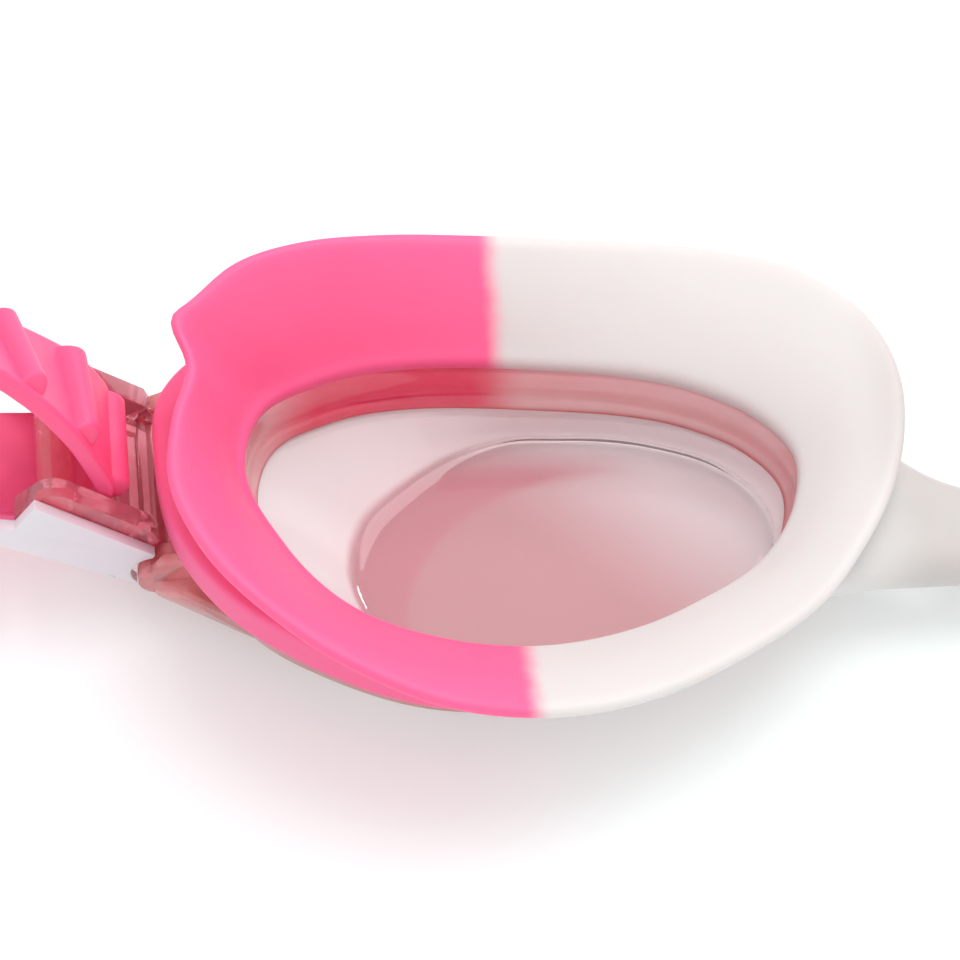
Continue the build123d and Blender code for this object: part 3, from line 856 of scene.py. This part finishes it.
def ramp(material, value, limits, ends=(0.0, 1.0)):
    """Soft step of a value between two limits."""
    node = add(material, "ShaderNodeMapRange", interpolation_type="SMOOTHSTEP")
    node.inputs["From Min"].default_value = limits[0]
    node.inputs["From Max"].default_value = limits[1]
    node.inputs["To Min"].default_value = ends[0]
    node.inputs["To Max"].default_value = ends[1]
    link(material, value, node.inputs["Value"])
    return node.outputs["Result"]


def ramp_mm(material, length, limits, ends=(0.0, 1.0)):
    """Soft step of a length in metres between two places in mm."""
    return ramp(material, length, [place / 1000 for place in limits], ends)


def between(material, share, first, second):
    """One colour output where share is 0, the other where it is 1."""
    node = add(material, "ShaderNodeMix", data_type="RGBA")
    link(material, share, node.inputs["Factor"])
    link(material, first, node.inputs["A"])
    link(material, second, node.inputs["B"])
    return node.outputs["Result"]


def across_seam(material, wander, width):
    """0 on the nose side of the silicone's colour seam, 1 on the temple side; wander and width are in mm."""
    waves = noise(material, 450, 2)
    place = calculate(material, "MULTIPLY_ADD", waves, wander / 1000, distance_out(material))
    middle = SEAM_X + SEAM_SHIFT
    return ramp_mm(material, place, (middle - width / 2, middle + width / 2))


def skirt_silicone():
    """Pink outboard of the seam, white inboard, with painted shade darkening the white on the low bridge
    between the cups, and a soft seam.
    """
    material, main = shader(
        "skirt_silicone", IOR=1.41, Subsurface_Weight=0.35, Subsurface_Scale=0.0025, Specular_IOR_Level=0.45,
    )
    main.inputs["Subsurface Radius"].default_value = (1.0, 0.45, 0.4)
    cloud = noise(material, 90, 3)
    pink = tint(material, cloud, SKIRT_PINK)
    cup_white = tint(material, cloud, SKIRT_WHITE)
    # painted shade for the white of the bridge between the cups
    bridge_shaded_white = tint(material, cloud, BRIDGE_SHADED_WHITE)
    on_cup = ramp_mm(material, distance_out(material), BRIDGE_SHADE_ENDS)
    white = between(material, on_cup, bridge_shaded_white, cup_white)
    colour = between(material, across_seam(material, 0.8, 2.4), white, pink)
    link(material, colour, main.inputs["Base Color"])
    link(material, spread(material, noise(material, 600, 4), 0.40, 0.52), main.inputs["Roughness"])
    bump(material, main, noise(material, 5000, 3), 0.000008, 0.6)
    return material


def strap_rubber():
    """Pink silicone of the band, a little glossier than the skirt."""
    material, main = shader(
        "strap_rubber", IOR=1.41, Subsurface_Weight=0.12, Subsurface_Scale=0.0015, Specular_IOR_Level=0.45,
    )
    main.inputs["Subsurface Radius"].default_value = (1.0, 0.3, 0.3)
    link(material, tint(material, noise(material, 120, 3), STRAP_PINK), main.inputs["Base Color"])
    link(material, spread(material, noise(material, 700, 4), 0.36, 0.5), main.inputs["Roughness"])
    bump(material, main, noise(material, 4200, 3), 0.00001, 0.6)
    return material


def clear_plastic(name, colours, patches, body, ior=1.45):
    """Tinted see-through plastic with moulding waves; body is the share of light its own colour scatters."""
    material, main = shader(
        name, IOR=ior, Transmission_Weight=1 - body, Specular_IOR_Level=0.5, Coat_Weight=0.8,
        Coat_Roughness=0.02,
    )
    link(material, tint(material, noise(material, patches, 2), colours), main.inputs["Base Color"])
    link(material, spread(material, noise(material, patches * 4, 4), 0.0, 0.07), main.inputs["Roughness"])
    bump(material, main, noise(material, patches, 2), 0.00008, 0.5)
    return material, main


def rim_plastic():
    """Clear rim: painted pink light where the pink silicone round it shows through, painted shade at its foot
    under the bead where it meets the lens, and clearer at the hinge.
    """
    material, main = clear_plastic("rim_clear", RIM_PLAIN, 420, body=0.6)
    out = distance_out(material)
    plain = main.inputs["Base Color"].links[0].from_socket
    # painted pink light from the pink silicone, on the temple side of the seam
    pink_light = tint(material, noise(material, 500, 3), RIM_PINK_LIGHT)
    start, end = across_seam(material, 1.2, 5.5), ramp_mm(material, out, PINK_LIGHT_ENDS, (1.0, 0.0))
    pink_light_share = calculate(material, "MULTIPLY", start, end)
    ring = between(material, pink_light_share, plain, pink_light)
    # painted shade under the bead, where the rim meets the lens
    foot = tint(material, noise(material, 700, 2), RIM_FOOT_SHADE)
    above = calculate(material, "MULTIPLY_ADD", out, -LENS_EDGE_SLOPE, coordinate(material, "Z"))
    ring = between(material, ramp_mm(material, above, FOOT_SHADE_TOP), foot, ring)
    hinge = tint(material, noise(material, 900, 2), RIM_KNUCKLE)
    colour = between(material, ramp_mm(material, out, KNUCKLE_TINT), ring, hinge)
    link(material, colour, main.inputs["Base Color"])
    link(material, ramp_mm(material, out, KNUCKLE_CLEARER, RIM_CLEAR), main.inputs["Transmission Weight"])
    return material


def crescent_shade_share(material):
    """1 on the crescent of pink-tinted painted shade on the lens front, between its oval and its temple edge,
    0 elsewhere.
    """
    out = distance_out(material)
    brow = coordinate(material, "Y")
    centre_y = HINGE_LINE_Y * 1000 + OVAL_CENTRE[1]
    x = calculate(material, "MULTIPLY_ADD", out, 1000 / OVAL_HALF[0], -OVAL_CENTRE[0] / OVAL_HALF[0])
    y = calculate(material, "MULTIPLY_ADD", brow, 1000 / OVAL_HALF[1], -centre_y / OVAL_HALF[1])
    pair = add(material, "ShaderNodeCombineXYZ")
    link(material, x, pair.inputs["X"])
    link(material, y, pair.inputs["Y"])
    away = add(material, "ShaderNodeVectorMath", operation="LENGTH")
    link(material, pair.outputs["Vector"], away.inputs[0])
    beyond = ramp(material, away.outputs["Value"], OVAL_EDGE)
    temple = ramp_mm(material, out, CRESCENT_START)
    limits = [HINGE_LINE_Y * 1000 + place for place in CRESCENT_BROW]
    below_brow = ramp_mm(material, brow, limits, (1.0, 0.0))
    return calculate(material, "MULTIPLY", calculate(material, "MULTIPLY", beyond, temple), below_brow)


def lens_plastic():
    """Clear lens: flat front darker pink in painted shade, paler towards nose and brow in painted light,
    deeper again in a crescent of pink painted shade; pale sloping window.
    """
    material, main = shader("lens_clear", IOR=1.45, Transmission_Weight=1.0, Specular_IOR_Level=0.5)
    cloud = noise(material, 30, 2)
    slant = calculate(material, "SUBTRACT", coordinate(material, "Y"), distance_out(material))
    limits = [HINGE_LINE_Y * 1000 + place for place in FRONT_LIT_LEAN]
    # painted shade on the flat front, with painted light towards nose and brow
    pink, front_lit = tint(material, cloud, LENS_FRONT_SHADE), tint(material, cloud, LENS_FRONT_LIT)
    front = between(material, ramp_mm(material, slant, limits), pink, front_lit)
    # painted shade: the crescent near the temple, tinted pink
    front = between(material, crescent_shade_share(material), front, tint(material, cloud, LENS_CRESCENT_SHADE))
    raised = ramp_mm(material, coordinate(material, "Z"), LENS_FLAT_TOP)
    colour = between(material, raised, front, tint(material, cloud, LENS_WINDOW))
    link(material, colour, main.inputs["Base Color"])
    link(material, ramp(material, raised, (0.0, 1.0), LENS_CLEAR), main.inputs["Transmission Weight"])
    link(material, spread(material, noise(material, 200, 4), 0.0, 0.03), main.inputs["Roughness"])
    bump(material, main, noise(material, 60, 2), 0.00002, 0.4)
    return material


def lever_plastic():
    """White satin plastic with a faint cool cast."""
    material, main = shader("lever_plastic", IOR=1.5, Subsurface_Weight=0.12, Subsurface_Scale=0.001)
    link(material, tint(material, noise(material, 150, 3), LEVER_WHITE), main.inputs["Base Color"])
    link(material, spread(material, noise(material, 900, 4), 0.28, 0.4), main.inputs["Roughness"])
    bump(material, main, noise(material, 3800, 3), 0.000008, 0.5)
    return material


def floor_card():
    """Matt white studio table, lit a little from below."""
    material, main = shader("floor_card", Roughness=0.9, Specular_IOR_Level=0.1, Emission_Strength=0.25)
    main.inputs["Emission Color"].default_value = (1, 1, 1, 1)
    link(material, tint(material, noise(material, 12, 2), CARD_WHITE), main.inputs["Base Color"])
    return material


# ---------------------------------------------------------------- stage
def floor():
    mesh = bpy.data.meshes.new("floor")
    far, level = 3.0, -0.0002
    corners = [(-far, -far, level), (far, -far, level), (far, far, level), (-far, far, level)]
    mesh.from_pydata(corners, [], [(0, 1, 2, 3)])
    card = bpy.data.objects.new("floor", mesh)
    bpy.context.scene.collection.objects.link(card)
    card.data.materials.append(floor_card())


def area_light(name, place, aim, size, power):
    light = bpy.data.lights.new(name, "AREA")
    light.shape = "DISK"
    light.size = size
    light.energy = power
    holder = bpy.data.objects.new(name, light)
    bpy.context.scene.collection.objects.link(holder)
    holder.location = place
    holder.rotation_euler = (Vector(aim) - Vector(place)).to_track_quat("-Z", "Y").to_euler()


def lights():
    world = bpy.data.worlds.new("studio")
    bpy.context.scene.world = world
    world.use_nodes = True
    background = world.node_tree.nodes["Background"]
    background.inputs["Color"].default_value = (1.0, 1.0, 1.0, 1)
    background.inputs["Strength"].default_value = 0.95
    area_light("key", (0.15, 0.11, 0.86), (-0.03, -0.05, 0.0), 0.55, 3.0)
    area_light("glint", (0.315, 0.39, 0.48), (-0.056, 0.04, 0.0), 0.10, 0.75)


def camera():
    """Over the wearer's side of the left cup, 60 degrees above the floor and 5 degrees round."""
    target = Vector((-0.0453, HINGE_LINE_Y - 0.0065, 0.014))
    turn, lift = np.radians(-5), np.radians(60)
    back = Vector((np.sin(turn) * np.cos(lift), -np.cos(turn) * np.cos(lift), np.sin(lift)))
    eye = bpy.data.cameras.new("camera")
    eye.lens = 187.3
    eye.sensor_width = 36
    eye.clip_start = 0.01
    eye.clip_end = 10
    holder = bpy.data.objects.new("camera", eye)
    bpy.context.scene.collection.objects.link(holder)
    holder.location = target + back * 0.450
    holder.rotation_euler = (-back).to_track_quat("-Z", "Y").to_euler()
    bpy.context.scene.camera = holder


# ---------------------------------------------------------------- build
skirt(skirt_silicone())
lens_clear = lens_plastic()
rim_clear = rim_plastic()
buckle_clear = clear_plastic("buckle_clear", BUCKLE_CLEAR, 1100, body=0.28, ior=1.22)[0]
lever_white = lever_plastic()
strap_pink = strap_rubber()
for side_name, sign in SIDES.items():
    lens(f"lens_{side_name}", sign, lens_clear)
    rim(f"rim_{side_name}", sign, rim_clear)
    buckle(f"buckle_{side_name}", sign, buckle_clear)
    lever(f"lever_{side_name}", sign, lever_white)
    half_strap(f"strap_{side_name}", sign, strap_pink)
pin_material = clear_plastic("pin_clear", PIN_CLEAR, 600, body=0.4)[0]
for node_name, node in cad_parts.items():
    if "pin" in node_name:
        for place in range(len(node.material_slots)):
            node.material_slots[place].material = pin_material
floor()
lights()
camera()
bpy.context.scene.view_settings.view_transform = "Standard"
